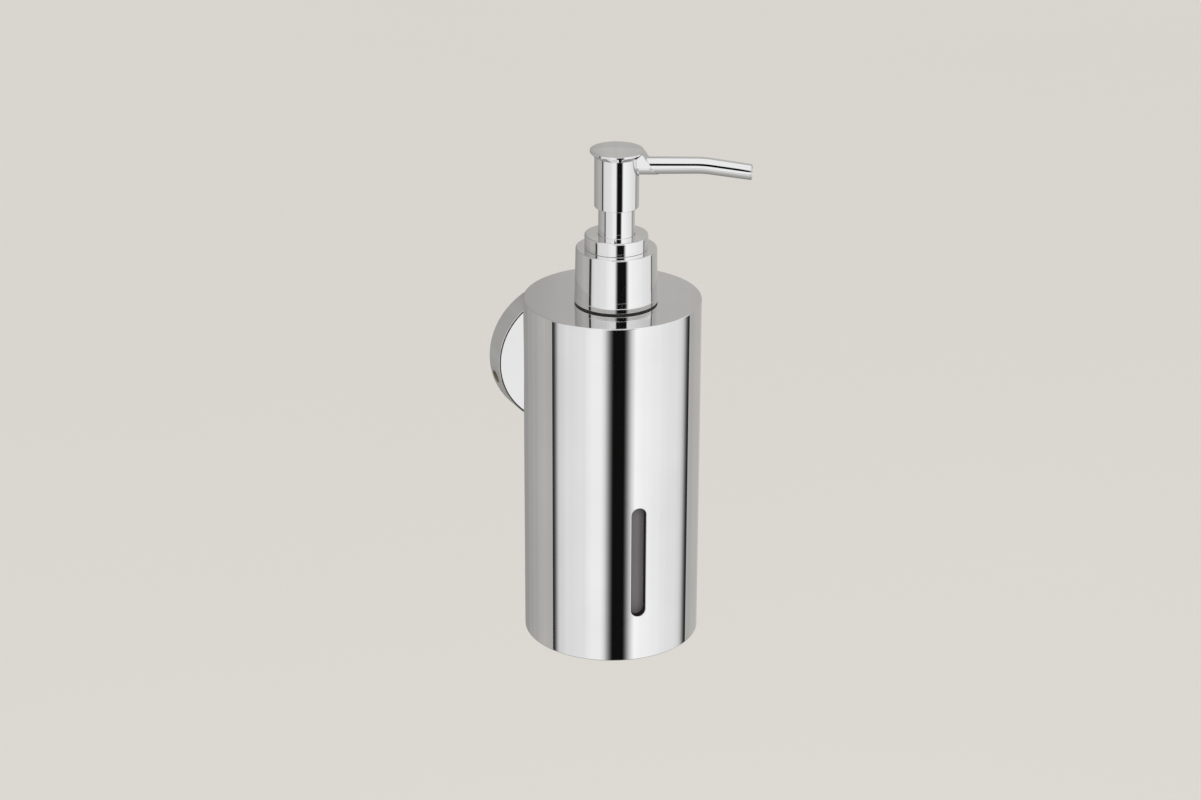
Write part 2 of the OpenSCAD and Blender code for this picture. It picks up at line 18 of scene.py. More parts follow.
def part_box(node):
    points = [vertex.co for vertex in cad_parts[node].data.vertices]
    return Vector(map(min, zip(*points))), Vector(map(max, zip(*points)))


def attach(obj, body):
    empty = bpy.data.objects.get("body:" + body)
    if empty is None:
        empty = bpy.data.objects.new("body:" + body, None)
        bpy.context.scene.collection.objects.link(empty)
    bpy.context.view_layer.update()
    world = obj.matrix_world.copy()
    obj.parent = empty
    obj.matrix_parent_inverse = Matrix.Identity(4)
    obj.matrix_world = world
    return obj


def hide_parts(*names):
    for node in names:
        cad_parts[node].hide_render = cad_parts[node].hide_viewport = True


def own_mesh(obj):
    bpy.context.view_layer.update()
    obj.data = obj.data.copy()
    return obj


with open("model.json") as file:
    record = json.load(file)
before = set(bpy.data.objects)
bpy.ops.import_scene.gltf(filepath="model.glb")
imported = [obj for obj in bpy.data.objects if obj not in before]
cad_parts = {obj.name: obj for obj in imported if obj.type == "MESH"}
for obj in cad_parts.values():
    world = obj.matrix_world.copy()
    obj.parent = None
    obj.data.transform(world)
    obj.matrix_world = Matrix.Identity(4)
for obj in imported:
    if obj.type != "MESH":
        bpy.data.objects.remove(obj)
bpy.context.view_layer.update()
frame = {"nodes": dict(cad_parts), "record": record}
bodies = frame["record"]["behaviour"]["bodies"]
body_of = {node: body for body, nodes in bodies.items() for node in nodes}

# %% [markdown]
# ## Sizes
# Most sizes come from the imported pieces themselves, so the new surfaces can't drift away from them. Lengths
# are in millimetres while a shape is worked out, and become metres when the mesh is made. A frame is an
# origin, a direction that counts as straight ahead, a direction to its side, and an axis that a shape is
# turned round.

# %% Sizes and frames
MM = 0.001
X, Y, Z = np.eye(3)
FIT, SLIDING_FIT = 0.05, 0.08


def span(node):
    """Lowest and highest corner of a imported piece, in millimetres."""
    low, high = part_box(node)
    return np.array(low) / MM, np.array(high) / MM


def half_width(node):
    """Radius of a round upright piece: half its width along X."""
    low, high = span(node)
    return (high[0] - low[0]) / 2


def levels(node):
    """Heights of a piece's foot and top above the body's top face."""
    return [corner[2] - top_z for corner in span(node)]


body_low, body_high = span("body_shell")
top_z = body_high[2]
body_h = top_z - body_low[2]
body_r = half_width("body_shell")
body_y = (body_low[1] + body_high[1]) / 2
pump_y = np.mean([corner[1] for corner in span("collar_cover")])
neck_offset = body_y - pump_y
body_frame = (np.array([0, body_y, top_z]), -Y, X, Z)
pump_frame = (np.array([0, pump_y, top_z]), -Y, X, Z)
print("body radius", body_r, "height", body_h, "axis", body_y, "pump axis", pump_y, "top", top_z)

# %% [markdown]
# ## From a grid of numbers to a mesh
# Each surface is a grid of points with rows and columns. Four neighbouring points make one face. A piece
# can be several grids whose edges meet: points in the same place are merged, and the faces are then turned
# outwards. Smooth shading is broken only where two faces meet at a sharp angle.

# %% Grids into pieces
WELD = 0.000002
SHARP = math.radians(38)


def sheet(points, close_rows=False, close_columns=True, keep=None):
    """Faces of a grid of points.

    Cell (i, j) joins the points (i, j), (i, j+1), (i+1, j+1) and (i+1, j). A closed side wraps round to 0.
    keep is a table that says which cells stay.
    """
    rows, columns = points.shape[:2]
    i, j = np.indices((rows - (not close_rows), columns - (not close_columns)))
    here, below, beside = i * columns, (i + 1) % rows * columns, (j + 1) % columns
    faces = np.stack([here + j, here + beside, below + beside, below + j], axis=-1)
    faces = faces if keep is None else faces[keep]
    return points.reshape(-1, 3), faces.reshape(-1, 4)


def mesh_of(name, sheets):
    """Mesh in metres from several sheets, with unused points dropped, doubles merged and faces outwards."""
    starts = np.cumsum([0] + [len(points) for points, faces in sheets])
    points = np.concatenate([points for points, faces in sheets]) * MM
    faces = np.concatenate([faces + start for (points_here, faces), start in zip(sheets, starts)])
    used, faces = np.unique(faces, return_inverse=True)
    mesh = bpy.data.meshes.new(name)
    mesh.from_pydata(points[used].tolist(), [], faces.reshape(-1, 4).tolist())
    work = bmesh.new()
    work.from_mesh(mesh)
    bmesh.ops.remove_doubles(work, verts=work.verts, dist=WELD)
    bmesh.ops.recalc_face_normals(work, faces=work.faces)
    open_edges = sum(not edge.is_manifold for edge in work.edges)
    work.to_mesh(mesh)
    work.free()
    mesh.shade_smooth()
    mesh.set_sharp_from_angle(angle=SHARP)
    print(name, len(mesh.polygons), "faces,", open_edges, "open edges")
    return mesh


def added(name, data):
    """New object in the scene."""
    thing = bpy.data.objects.new(name, data)
    bpy.context.scene.collection.objects.link(thing)
    return thing


def dress(node, sheets, slot, wears=None):
    """Piece that stands for a packed one, rides on its body and wears its slot's finish or one like it."""
    piece = added(node + "_form", mesh_of(node + "_form", sheets))
    piece.data.materials.append(wears or finishes[slot])
    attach(piece, body_of[node])
    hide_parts(node)
    return piece


# %% [markdown]
# ## Sections with soft corners
# Almost every piece here was turned, drawn or moulded round an axis, so its shape is a section carried
# round a circle. Real metal has no knife edges: a thin bright line runs along each rounded corner. A
# section is therefore a list of corners, each with its own rounding. One more point just past each arc
# keeps the long faces truly flat, which matters on a mirror.

# %% Sections and turned shapes
COLUMNS = 192
GUARD = 0.04
ARC_STEPS = 6
CORNER_POINTS = ARC_STEPS + 3


def unit(vectors):
    """Each vector divided by its own length."""
    return vectors / np.linalg.norm(vectors, axis=-1, keepdims=True)


def section(corners, closed=True):
    """Outline through corners of (radius, height, rounding).

    Each corner becomes an arc that touches both of its sides, at rounding / tan(half the corner's angle)
    from the corner. The arc swings evenly from one touching point to the other, and a guard point lies just
    past each.
    """
    corners = np.array(corners, float)
    spot, rounding = corners[:, :2], corners[:, 2:]
    back = unit(np.roll(spot, 1, axis=0) - spot)
    ahead = unit(np.roll(spot, -1, axis=0) - spot)
    half = np.arccos(np.clip((back * ahead).sum(axis=1, keepdims=True), -1, 1)) / 2
    centre = spot + unit(back + ahead) * rounding / np.sin(half)
    start = spot + back * rounding / np.tan(half)
    end = spot + ahead * rounding / np.tan(half)
    swing = (math.pi - 2 * half)[:, None]
    step = np.linspace(0, 1, ARC_STEPS + 1)[None, :, None]
    from_start = np.sin((1 - step) * swing) / np.sin(swing)
    from_end = np.sin(step * swing) / np.sin(swing)
    arc = centre[:, None] + from_start * (start - centre)[:, None] + from_end * (end - centre)[:, None]
    guards = [(start + back * GUARD)[:, None], (end + ahead * GUARD)[:, None]]
    outline = np.concatenate([guards[0], arc, guards[1]], axis=1).reshape(-1, 2)
    return outline if closed else outline[1:-1]


def ring_of(frame_here, columns=COLUMNS):
    """Unit directions round a frame's axis: cos(a) ahead plus sin(a) to the side."""
    angle = np.linspace(0, 2 * math.pi, columns, endpoint=False)[:, None]
    return np.cos(angle) * frame_here[1] + np.sin(angle) * frame_here[2]


def turned(outline, frame_here, columns=COLUMNS, shift=None):
    """Points of an outline carried round an axis: origin + radius * direction + height * axis.

    shift moves the centre of each row ahead by its own amount.
    """
    radius, height = outline[:, 0, None, None], outline[:, 1, None, None]
    points = frame_here[0] + radius * ring_of(frame_here, columns) + height * frame_here[3]
    return points if shift is None else points + shift[:, None, None] * frame_here[1]


def turned_piece(node, slot, frame_here, corners):
    """Dress a piece with a turned shape. Its section is a closed ring, or starts and ends on the axis."""
    closed = corners[0][0] > 0
    dress(node, [sheet(turned(section(corners, closed), frame_here), close_rows=closed)], slot)


# %% [markdown]
# ## Finishes
# A finish is a colour, a gloss and a fine relief that drift a little over the surface. Each one reads the
# piece's own Object coordinates, so nothing slides when a piece moves. A broad noise shifts the colour and
# the gloss, and a fine one makes the relief. One small helper adds a node and fills its inputs, so that a
# material reads like a list of steps.

# %% Nodes and their inputs
def fill(material, socket, value):
    """Link another node's output to a socket, or set a plain value on it."""
    if isinstance(value, bpy.types.NodeSocket):
        material.node_tree.links.new(value, socket)
    else:
        socket.default_value = value


def wired(material, kind, inputs, **settings):
    """Add a node with its settings, and fill the inputs that are given by the sockets' names or numbers."""
    node = material.node_tree.nodes.new("ShaderNode" + kind)
    for name, value in settings.items():
        setattr(node, name, value)
    for socket, value in inputs.items():
        fill(material, node.inputs[socket], value)
    return node


# %% A finish from two noises
NOISE_DETAIL = 3
NOISE_LOW, NOISE_HIGH = 0.3, 0.7


def finish(name, colours, gloss, broad, fine, relief, stretch=(1, 1, 1), metallic=0):
    """Material whose colour and roughness drift with a broad noise, with a fine noise as relief.

    broad and fine are in spots per metre, relief is the fine noise's height in millimetres, and stretch
    squeezes the noises along X, Y and Z.
    """
    material = bpy.data.materials.new(name)
    material.use_nodes = True
    shader = material.node_tree.nodes["Principled BSDF"].inputs
    shader["Metallic"].default_value = metallic
    place = wired(material, "TexCoord", {}).outputs["Object"]
    place = wired(material, "Mapping", {"Vector": place, "Scale": stretch}).outputs["Vector"]
    drift, grain = [
        wired(material, "TexNoise", {"Vector": place, "Scale": scale, "Detail": NOISE_DETAIL})
        for scale in (broad, fine)]
    ramp = wired(material, "ValToRGB", {"Fac": drift.outputs["Fac"]})
    for stop, colour, spot in zip(ramp.color_ramp.elements, colours, (NOISE_LOW, NOISE_HIGH)):
        stop.position = spot
        stop.color = (*colour, 1)
    rough = wired(material, "MapRange", {
        "Value": drift.outputs["Fac"], "From Min": NOISE_LOW, "From Max": NOISE_HIGH,
        "To Min": gloss[0], "To Max": gloss[1]})
    bump = wired(material, "Bump", {
        "Height": grain.outputs["Fac"], "Strength": 1, "Distance": relief * MM})
    fill(material, shader["Base Color"], ramp.outputs["Color"])
    fill(material, shader["Roughness"], rough.outputs["Result"])
    fill(material, shader["Normal"], bump.outputs["Normal"])
    return material


def chrome(name):
    """Mirror plating, cool and almost without relief."""
    return finish(name, [(0.86, 0.86, 0.865), (0.9, 0.9, 0.9)], (0.02, 0.045), 40, 300, 0.00002, metallic=1)


finishes = {
    "chrome": chrome("mirror_chrome"),
    "steel": finish("drawn_steel", [(0.5, 0.5, 0.48), (0.66, 0.65, 0.63)], (0.22, 0.36), 300, 2600, 0.004,
                    stretch=(1, 1, 0.15), metallic=1),
    "zinc": finish("cast_zinc", [(0.4, 0.41, 0.42), (0.55, 0.56, 0.57)], (0.38, 0.55), 220, 1500, 0.02,
                   metallic=1),
    "brass": finish("turned_brass", [(0.42, 0.32, 0.2), (0.6, 0.48, 0.33)], (0.3, 0.45), 500, 3000, 0.004,
                    metallic=0.7),
    "grey_plastic": finish("bottle_plastic", [(0.2, 0.19, 0.202), (0.23, 0.219, 0.232)], (0.36, 0.48),
                           60, 900, 0.01),
    "black_rubber": finish("washer_rubber", [(0.008, 0.008, 0.008), (0.022, 0.021, 0.02)], (0.5, 0.65),
                           300, 2500, 0.01),
    "white_plastic": finish("moulded_white", [(0.74, 0.74, 0.72), (0.84, 0.84, 0.82)], (0.34, 0.46),
                            90, 1400, 0.006),
    "dark_plastic": finish("moulded_dark", [(0.03, 0.03, 0.032), (0.055, 0.055, 0.055)], (0.45, 0.6),
                           120, 2200, 0.03),
}
print("finishes:", ", ".join(finishes))

# %% [markdown]
# ## The body
# The body is a tube with a flat top, a hole for the bottle's neck and a slot that shows how much soap is
# left. The slot could be cut with a Boolean modifier, but its faces would spoil the mirror. Instead the
# wall's grid leaves out a window of whole cells, and a collar of points runs from the edge of the window to
# the slot's outline, round its soft edge, through the wall and back to the same window inside. The slot's
# edge is pressed inwards, so its wall looks thicker than the sheet.

# %% Openings in a round wall
EDGE_STEPS = 5
COLLAR_STEPS = 7
FOLD = 0.85


def window_edge(grid):
    """The points round the edge of a grid, once round from its first corner."""
    return np.concatenate([grid[0], grid[1:, -1], grid[-1, -2::-1], grid[-2:0:-1, 0]])


def opening(edge_out, edge_in, hole, outer, inner, facing):
    """Points of the collar that lines an opening in a turned wall.

    The opening is every place within reach of a core line that runs along the axis. Each point of the
    window's edge looks straight at its nearest place on the core. Along that line the collar comes in over
    the outer face, turns through a quarter circle of radius soft, crosses the wall and goes out again over
    the inner face. Where the edge is folded inwards, the collar runs on by the depth sunk and comes back
    behind a fold. A point at distance x to the side and radius r from the axis lies sqrt(r * r - x * x)
    ahead of it.
    """
    reach, soft, sunk = hole["reach"], hole["soft"], hole["sunk"]
    middle = np.stack([np.zeros(len(edge_out)), np.clip(edge_out[:, 1], *hole["core"])], axis=1)
    way = unit(edge_out - middle)
    turn = np.linspace(0, math.pi / 2, EDGE_STEPS + 1)
    widths = reach + np.concatenate([[soft + GUARD], soft * (1 - np.sin(turn))])
    depths = np.concatenate([[0], soft * (1 - np.cos(turn))])
    rings = middle + widths[:, None, None] * way
    fold = (middle + (reach + FOLD) * way)[None]
    share = np.linspace(0, 1, COLLAR_STEPS, endpoint=False)[:, None, None]
    flat_out = np.concatenate([edge_out + share * (rings[0] - edge_out), rings])
    flat_in = np.concatenate([edge_in + share * (fold - edge_in), fold, fold, rings])
    level_rows = np.zeros(COLLAR_STEPS)
    depth_out = np.concatenate([level_rows, depths])[:, None]
    depth_in = np.concatenate([level_rows, [0, sunk], sunk - depths])[:, None]
    flat = np.concatenate([flat_out, flat_in[::-1]])
    radius_in = inner(flat_in[..., 1]) - depth_in
    radius = np.concatenate([outer(flat_out[..., 1]) - depth_out, radius_in[::-1]])
    side, height = flat[..., :1], flat[..., 1:]
    ahead = np.sqrt(radius[..., None] ** 2 - side ** 2)
    origin, out, across, axis = facing
    return origin + ahead * out + side * across + height * axis


def pierced_wall(heights, outer, inner, holes, frame_here, columns):
    """Sheets of an outer and an inner wall with openings, and of the collars that line the openings.

    A hole has its centre column, the columns and the heights that its window spans, its core, its reach,
    its soft edge and the depth of its fold.
    """
    keep = np.ones((len(heights) - 1, columns), bool)
    origin, out, across, axis = frame_here
    collars = []
    for hole in holes:
        first, last = np.searchsorted(heights, hole["window"])
        rows = np.arange(first - 1, last + 1)
        aside = np.arange(-hole["spread"], hole["spread"] + 1)
        keep[np.ix_(rows[:-1], (hole["centre"] + aside[:-1]) % columns)] = False
        height, angle = np.meshgrid(heights[rows], aside * 2 * math.pi / columns, indexing="ij")
        edges = [window_edge(np.stack([face(height) * np.sin(angle), height], axis=-1))
                 for face in (outer, inner)]
        turn = hole["centre"] * 2 * math.pi / columns
        facing = (origin, math.cos(turn) * out + math.sin(turn) * across,
                  math.cos(turn) * across - math.sin(turn) * out, axis)
        collars.append(sheet(opening(*edges, hole, outer, inner, facing)))
    walls = [turned(np.stack([face(heights), heights], axis=1), frame_here, columns)
             for face in (outer, inner)]
    return [sheet(wall, keep=keep) for wall in walls] + collars


def upright(radius):
    """A wall of one radius at every height."""
    return lambda height: radius + 0 * height


# %% The body's surfaces
BODY_COLUMNS = 240
WALL_ROWS = 94
wall_foot, wall_head = 1 - body_h, -2.2
wall_rows = np.linspace(wall_foot, wall_head, WALL_ROWS)
shell_bore = half_width("base_cover") + FIT
shell_edge = 0.4
top_wall = 1.5
top_margin = 1
washer_band = 2.9
neck_hole = half_width("neck_washer") - washer_band
slot_half, slot_margin, slot_fold = 3.0, 4.5, 2.0
slot_low, slot_high = 19 - body_h, 66 - body_h
screw_half, screw_margin = 2.55, 5
post_level = -top_z
body_slot = {
    "centre": 0, "spread": 9, "window": (slot_low - slot_margin, slot_high + slot_margin),
    "core": (slot_low + slot_half, slot_high - slot_half),
    "reach": slot_half, "soft": 0.25, "sunk": slot_fold}
body_screw_hole = {
    "centre": BODY_COLUMNS // 2, "spread": 6,
    "window": (post_level - screw_margin, post_level + screw_margin), "core": (post_level, post_level),
    "reach": screw_half, "soft": 0.15, "sunk": 0}
body_sheets = pierced_wall(wall_rows, upright(body_r), upright(shell_bore), [body_slot, body_screw_hole],
                           body_frame, BODY_COLUMNS)
top_outline = section([
    (body_r, wall_head, 0), (body_r, 0, shell_edge), (neck_hole, 0, 0.25), (neck_hole, -top_wall, 0.15),
    (shell_bore, -top_wall, 0.2), (shell_bore, wall_head, 0)], closed=False)
flat_width = shell_bore - neck_hole - 2 * top_margin
to_neck = np.clip((shell_bore - top_margin - top_outline[:, 0]) / flat_width, 0, 1)
foot_outline = section([
    (shell_bore, wall_foot, 0), (shell_bore, -body_h, 0.15), (body_r, -body_h, 0.3),
    (body_r, wall_foot, 0)], closed=False)
body_sheets.append(sheet(turned(top_outline, body_frame, BODY_COLUMNS, shift=neck_offset * to_neck)))
body_sheets.append(sheet(turned(foot_outline, body_frame, BODY_COLUMNS)))
print("the body has", len(body_sheets), "sheets")

# %% [markdown]
# Plating hardly reaches the inside of a tube, so the cut edge of the slot and the wall behind it stay dull
# and brown. Their colour is set nearly black, so it is also painted shade for the dark inside of the tube. A
# mask
# tells the two apart: outside is what lies farther from the body's axis than the wall's skin, or higher than
# the skin of its top. A second material on the inner faces would do as well, but a mask also works on one
# smooth surface.

# %% Chrome outside and a dull inside with painted shade
INSIDE_GLOSS = 0.5
SKIN = 0.27


def recoloured_inside(material, colour, origin, axis, reach, along, limit):
    """Blend a finish into another colour and gloss inside a rod; the body's near-black colour there is
    painted shade.

    A place p is outside if its distance from the rod's axis, the length of (p - origin) x axis, is over
    reach, or if (p - origin) . along is over limit.
    """
    shader = material.node_tree.nodes["Principled BSDF"].inputs

    def vector(operation, *values):
        return wired(material, "VectorMath", dict(enumerate(values)), operation=operation).outputs

    def number(operation, *values):
        return wired(material, "Math", dict(enumerate(values)), operation=operation).outputs["Value"]

    place = wired(material, "TexCoord", {}).outputs["Object"]
    away = vector("SUBTRACT", place, origin * MM)["Vector"]
    distance = vector("LENGTH", vector("CROSS_PRODUCT", away, axis)["Vector"])["Value"]
    height = vector("DOT_PRODUCT", away, along)["Value"]
    beyond = number("SUBTRACT", distance, reach * MM)
    above = number("SUBTRACT", height, limit * MM)
    outside = number("GREATER_THAN", number("MAXIMUM", beyond, above), 0)
    fill(material, shader["Metallic"], outside)
    for socket, inside_value, kind in (("Base Color", (*colour, 1), "RGBA"), ("Roughness", INSIDE_GLOSS, "FLOAT")):
        bright = shader[socket].links[0].from_socket
        blend = wired(material, "Mix", {}, data_type=kind)
        entries = [entry for entry in blend.inputs if entry.enabled]
        for entry, value in zip(entries, (outside, inside_value, bright)):
            fill(material, entry, value)
        fill(material, shader[socket], [entry for entry in blend.outputs if entry.enabled][0])
    return material


# The body's inside colour is nearly black: dull brown metal, darkened further as painted shade of the tube's
# inside.
plated_tube_shaded_inside = recoloured_inside(chrome("plated_tube_shaded_inside"), (0.012, 0.006, 0.004), body_frame[0], Z, body_r - SKIN,
                     Z, -SKIN)
dress("body_shell", body_sheets, "chrome", plated_tube_shaded_inside)

# %% [markdown]
# ## The turned pieces of the pump
# The closure, the guide ring and the sleeve are stacked on the body's top, with a black washer under them.
# Each is one closed section turned round the pump's axis. The closure is a little wider at its foot and
# ends in a low lip, whose small bevel draws the bright line above the washer.

# %% Washer and closure
washer_r = half_width("neck_washer")
washer_top = levels("neck_washer")[1]
turned_piece("neck_washer", "black_rubber", pump_frame, [
    (neck_hole, 0, 0.05), (washer_r, 0, 0.15), (washer_r, washer_top, 0.15), (neck_hole, washer_top, 0.05)])

closure_foot, closure_top = levels("collar_cover")
lip_r = half_width("collar_cover")
lip_top = closure_foot + 1.9
lip_bevel = 0.15
collar_r = lip_r - 0.5
collar_bore = half_width("screw_cap") + FIT
collar_hole = 9.85
collar_ceiling = closure_top - 0.6
turned_piece("collar_cover", "chrome", pump_frame, [
    (collar_bore, closure_foot, 0.05), (lip_r, closure_foot, 0.1), (lip_r, lip_top - lip_bevel, 0.06),
    (lip_r - lip_bevel, lip_top, 0.06), (collar_r, closure_top, 0.5), (collar_hole, closure_top, 0.15),
    (collar_hole, collar_ceiling, 0.1), (collar_bore, collar_ceiling, 0.1)])

# %% Guide ring and sleeve
ring_r = half_width("guide_ring")
skirt_foot, ring_top = levels("guide_ring")
ring_foot = closure_top + FIT
sleeve_r = half_width("stem_sleeve")
skirt_r = collar_hole - 0.3
ring_bore = sleeve_r + SLIDING_FIT
stem_hole = half_width("pump_stem") + SLIDING_FIT
guide_top = skirt_foot + 0.95
turned_piece("guide_ring", "chrome", pump_frame, [
    (stem_hole, skirt_foot, 0.1), (skirt_r, skirt_foot, 0.3), (skirt_r, ring_foot, 0.05),
    (ring_r, ring_foot, 0.15), (ring_r, ring_top, 0.6), (ring_bore, ring_top, 0.25),
    (ring_bore, guide_top, 0.1), (stem_hole, guide_top, 0.1)])

sleeve_foot, sleeve_top = levels("stem_sleeve")
sleeve_bore = sleeve_r - 1
turned_piece("stem_sleeve", "chrome", pump_frame, [
    (sleeve_bore, sleeve_foot, 0.1), (sleeve_r, sleeve_foot, 0.25), (sleeve_r, sleeve_top, 0.1),
    (sleeve_bore, sleeve_top, 0.1)])

# %% [markdown]
# ## The pump head
# The head is a barrel with a flared round top. A block with a round underside grows out of its side and
# holds the spout. A level cut through it looks like a keyhole: most of a circle, two small hollow fillets,
# two straight sides and a short straight end. Stacking such cuts gives the whole outside, because every row
# has the same number of points.

# %% The head's sizes
SPOUT_AZIMUTH, SPOUT_RISE = math.radians(-25), math.radians(2.5)
spout_way = math.cos(SPOUT_AZIMUTH) * X + math.sin(SPOUT_AZIMUTH) * Y
head_frame = (pump_frame[0], spout_way, np.cross(Z, spout_way), Z)
head_foot, dome_top = levels("pump_head")
head_bore = half_width("head_core") + FIT
head_r = head_bore + 1
head_ceiling = head_foot + 4
dome_rise, dome_margin, rim_h = 0.4, 0.2, 0.8
rim = dome_top - dome_rise
rim_foot = rim - rim_h
top_r = 10.4
flare_foot = rim_foot - (top_r - head_r)
spout_r, spout_bore = 3.35, 2.4
spout_z = rim - 6.25
block_half = spout_r + 0.25
block_foot = spout_z - block_half
block_reach = 16.2
print("head radius", head_r, "top radius", top_r, "spout axis", spout_z, "above the body")

# %% The head's level cuts
HOLLOW, ROUND, THIN = 0.25, 0.3, 0.8
CIRCLE_STEPS, CURVE_STEPS, LINE_STEPS = 90, 6, 3
BLOCK_STEPS = 2 * CURVE_STEPS + 2 * LINE_STEPS + 1


def arc_between(centre, radius, start, end, steps):
    """Points on an arc: centre + radius * (cos, sin) of angles that run evenly from start to end."""
    angle = start[:, None] + (end - start)[:, None] * np.linspace(0, 1, steps)
    return centre[:, None] + radius[:, None, None] * np.stack([np.cos(angle), np.sin(angle)], axis=-1)


def line_between(start, end):
    """Points that run evenly from start to end, without the ends."""
    share = np.linspace(0, 1, LINE_STEPS + 2)[1:-1, None]
    return start[:, None] * (1 - share) + end[:, None] * share


def both_halves(half):
    """A half outline that starts and ends on the line y = 0, followed by its mirror image backwards."""
    return np.concatenate([half, half[:, -2:0:-1] * [1, -1]], axis=1)


def keyhole(radius, half, reach):
    """Level cuts of the head with its block, one for each radius, half width and reach of the block.

    A fillet of radius HOLLOW lies at y = half + HOLLOW and touches the circle, so its centre is as far from
    the axis as both radii together. The block's corners are arcs of radius ROUND, or less where the block
    is thin.
    """
    zero = np.zeros(len(radius))
    nook = np.stack([np.sqrt((radius + HOLLOW) ** 2 - (half + HOLLOW) ** 2), half + HOLLOW], axis=1)
    swing = np.arctan2(nook[:, 1], nook[:, 0])
    corner = np.minimum(ROUND, THIN * half)
    heel = np.stack([reach - corner, half - corner], axis=1)
    side = line_between(np.stack([nook[:, 0], half], axis=1), np.stack([heel[:, 0], half], axis=1))
    front = np.stack([reach, heel[:, 1]], axis=1)
    return both_halves(np.concatenate([
        arc_between(np.zeros((len(radius), 2)), radius, zero + math.pi, swing, CIRCLE_STEPS),
        arc_between(nook, zero + HOLLOW, swing + math.pi, zero + 1.5 * math.pi, CURVE_STEPS)[:, 1:],
        side,
        arc_between(heel, corner, zero + math.pi / 2, zero, CURVE_STEPS),
        line_between(front, front * [1, 0]),
        (front * [1, 0])[:, None]], axis=1))


def round_cut(radius, swing):
    """Level cuts without the block, with the points of a keyhole whose circle ends at the angle swing."""
    zero = np.zeros(len(radius))
    middle = np.zeros((len(radius), 2))
    return both_halves(np.concatenate([
        arc_between(middle, radius, zero + math.pi, zero + swing, CIRCLE_STEPS),
        arc_between(middle, radius, zero + swing, zero, BLOCK_STEPS)[:, 1:]], axis=1))


def placed(cuts, heights):
    """Level cuts in the head's frame: x runs ahead, y to the side, and each cut lies at its own height.

    Up to the spout's axis the cuts climb ahead as the spout does, and they level out towards the flare.
    """
    origin, out, across, axis = head_frame
    share = np.clip((flare_foot - heights) / (flare_foot - spout_z), 0, 1) * (heights >= block_foot)
    lift = math.tan(SPOUT_RISE) * share[:, None, None] * np.maximum(cuts[..., :1], 0)
    return origin + cuts[..., :1] * out + cuts[..., 1:] * across + (heights[:, None, None] + lift) * axis


# %% The head's surface
BELLY_ROWS, SIDE_ROWS, FLARE_ROWS, DOME_ROWS = 14, 3, 11, 11
BELLY_START = 14
barrel = section([(0, head_ceiling, 0), (head_bore, head_ceiling, 0.1), (head_bore, head_foot, 0.15),
                  (head_r, head_foot, 0.2), (head_r, block_foot, 0)], closed=False)[:-1]
belly = np.radians(np.linspace(BELLY_START, 90, BELLY_ROWS))
block_heights = np.concatenate([
    spout_z - block_half * np.cos(belly), np.linspace(spout_z, flare_foot, SIDE_ROWS + 1)[1:],
    np.linspace(flare_foot, rim_foot, FLARE_ROWS + 1)[1:]])
flared = np.clip((block_heights - flare_foot) / (rim_foot - flare_foot), 0, 1)
block_radii = head_r + (top_r - head_r) * flared
block_halves = block_half * np.concatenate([np.sin(belly), np.ones(SIDE_ROWS + FLARE_ROWS)])
end_slope = (block_reach - top_r) / (rim_foot - block_foot)
block_reaches = block_reach - end_slope * (block_heights - block_foot)
dome_ball = (top_r ** 2 + dome_rise ** 2) / (2 * dome_rise)
dome_radii = np.linspace(1, 0, DOME_ROWS + 1)[1:] * (top_r - dome_margin)
dome = np.stack([dome_radii, dome_top - dome_ball + np.sqrt(dome_ball ** 2 - dome_radii ** 2)], axis=1)
edge = section([
    (top_r - 2, rim_foot, 0), (top_r, rim_foot, 0.05), (top_r, rim, 0.18), (top_r - 1, rim + 0.02, 0)],
    closed=False)[CORNER_POINTS:-CORNER_POINTS]
cap = np.concatenate([edge, dome])
swing_low = math.asin(block_halves[0] / head_r)
swing_high = math.asin(block_half / top_r)
head_points = np.concatenate([
    placed(round_cut(barrel[:, 0], swing_low), barrel[:, 1]),
    placed(round_cut(np.array([head_r]), swing_low), block_heights[:1]),
    placed(keyhole(block_radii, block_halves, block_reaches), block_heights),
    placed(round_cut(cap[:, 0], swing_high), cap[:, 1])])
dress("pump_head", [sheet(head_points)], "chrome")

# %% [markdown]
# ## The spout
# The spout is a drawn tube that gets a little thinner on its way: it rises out of the head, bends gently
# and falls to a mouth that is cut upright. A curve object with a bevel would end square to its path, so the
# tube is a circle carried along the path, and the last rings slide along the tube until they lie in
# the plane of the cut. The rim of the mouth is rounded.

# %% A tube along the spout's path
SPOUT_COLUMNS = 72
spout_seat = head_bore - 3.05
bend_start, bend_r, bend_angle = 30.5, 40.0, math.radians(8.5)
bend_end = bend_start + bend_r * bend_angle
spout_reach = 52.0
spout_frame = (head_frame[0] + spout_z * Z, math.cos(SPOUT_RISE) * spout_way + math.sin(SPOUT_RISE) * Z,
               head_frame[2], math.cos(SPOUT_RISE) * Z - math.sin(SPOUT_RISE) * spout_way)


def tube_rings(radius, along):
    """Circles along the spout, square to its path, with a radius and a distance along the path for each.

    The path runs ahead to the start of the bend, falls along an arc of radius bend_r, and goes on straight.
    """
    bent = np.clip((along - bend_start) / bend_r, 0, bend_angle)
    extra = along - bend_start - bent * bend_r
    x = bend_start + bend_r * np.sin(bent) + extra * np.cos(bent)
    z = -bend_r * (1 - np.cos(bent)) - extra * np.sin(bent)
    origin, out, across, axis = spout_frame
    turn = np.linspace(0, 2 * math.pi, SPOUT_COLUMNS, endpoint=False)[:, None]
    lift = np.sin(bent)[:, None] * out + np.cos(bent)[:, None] * axis
    ring = np.cos(turn) * lift[:, None] + np.sin(turn) * across
    middle = origin + x[:, None] * out + z[:, None] * axis
    return middle[:, None] + radius[:, None, None] * ring


def slid_to(points, setbacks):
    """Rings slid along the spout's end until they lie set back from the upright plane of the cut."""
    origin, out, across, axis = spout_frame
    way = math.cos(bend_angle) * out - math.sin(bend_angle) * axis
    lack = spout_reach - setbacks[:, None] - (points - origin) @ spout_way
    return points + (lack / (way @ spout_way))[..., None] * way


